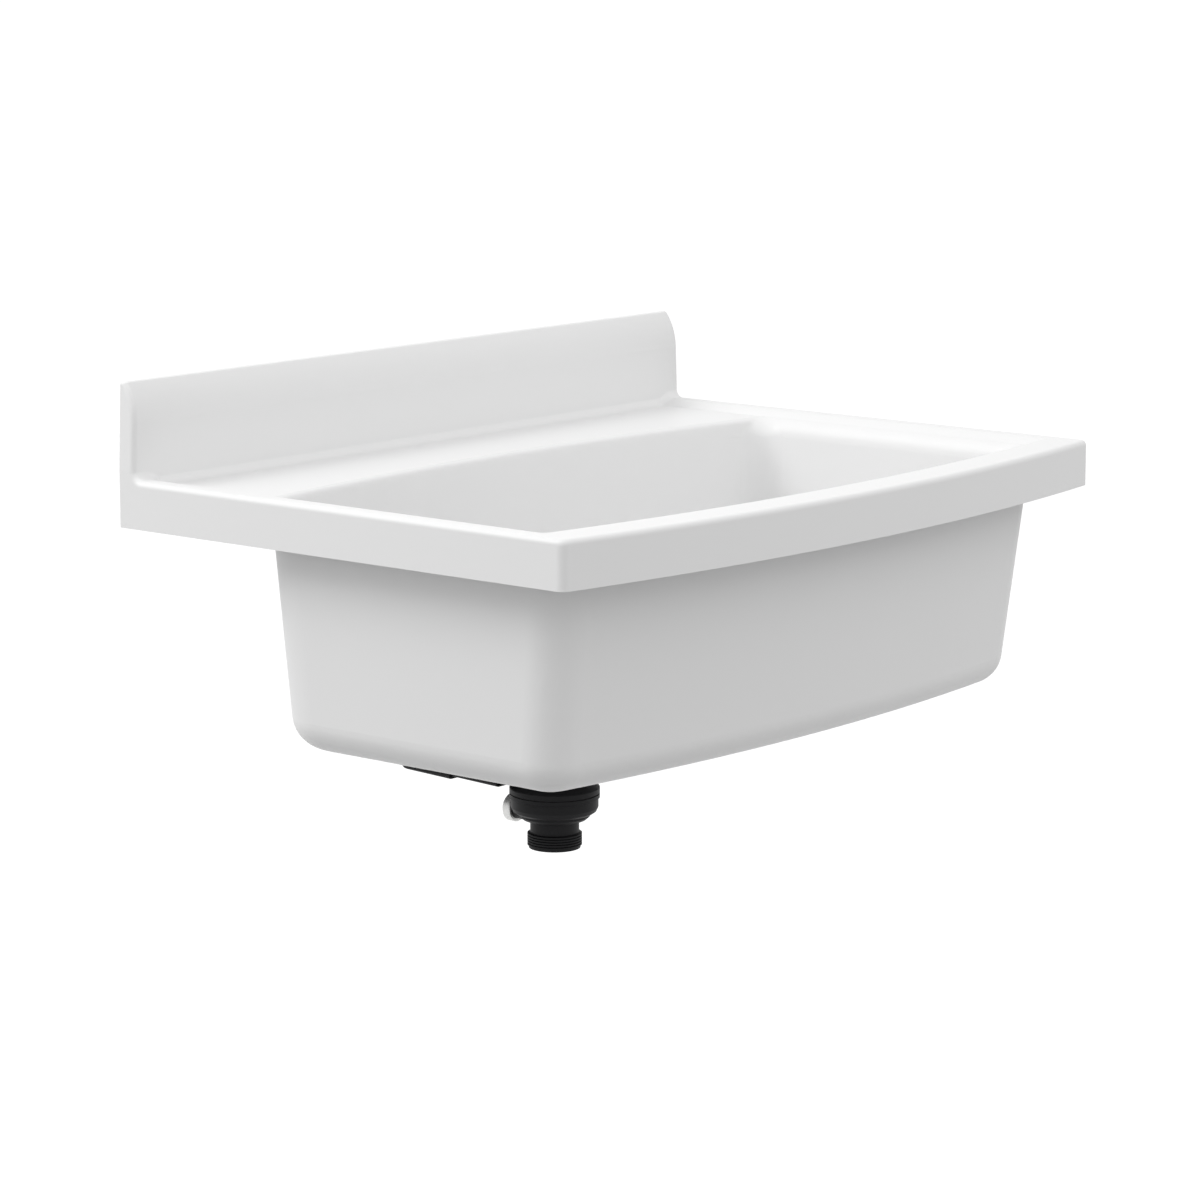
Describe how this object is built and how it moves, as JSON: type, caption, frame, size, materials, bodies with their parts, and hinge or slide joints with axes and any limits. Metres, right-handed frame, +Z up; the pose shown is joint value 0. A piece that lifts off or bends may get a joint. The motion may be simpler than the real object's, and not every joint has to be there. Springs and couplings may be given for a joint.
{
  "type": "utility sink",
  "caption": "Wall-hung plastic utility sink with a bowed front, a rear ledge and upstand, a deep rounded bowl, a basket waste and a flat overflow duct under it.",
  "frame": {"origin": "on the wall face, midway along the sink, level with the top of the rim", "axes": "+X along the wall, +Y into the wall, +Z up; the bowed front faces -Y"},
  "size_m": [0.75, 0.5359, 0.4055],
  "materials": {
    "white_plastic": "white moulded plastic, satin",
    "black_plastic": "black moulded plastic, satin",
    "stainless": "stainless steel, brushed",
    "brass_nut": "plain brass",
    "seal_rubber": "black rubber",
    "silver_cap": "silver-grey plastic, soft shine",
    "knob_plastic": "dark plastic, soft shine"
  },
  "bodies": {
    "sink": {"basin": "white_plastic", "waste_cup": "stainless", "flange_seal": "seal_rubber", "floor_gasket": "seal_rubber", "waste_body": "black_plastic", "centre_screw": "stainless", "screw_nut": "brass_nut", "union_seal": "seal_rubber", "outlet_body": "black_plastic", "spigot_disc": "seal_rubber", "spigot_cap": "silver_cap", "front_duct": "black_plastic", "rear_duct": "black_plastic", "overflow_elbow": "black_plastic", "overflow_riser": "black_plastic", "overflow_head": "black_plastic", "overflow_seal": "seal_rubber", "overflow_grille": "stainless", "overflow_screw": "stainless"},
    "basket": {"strainer_basket": "stainless", "basket_seal": "seal_rubber", "basket_knob": "knob_plastic"}
  },
  "joints": [
    {"name": "basket_lift", "type": "slide", "parent": "sink", "child": "basket", "axis": [0, 0, 1], "range_m": [0, 0.3]}
  ]
}
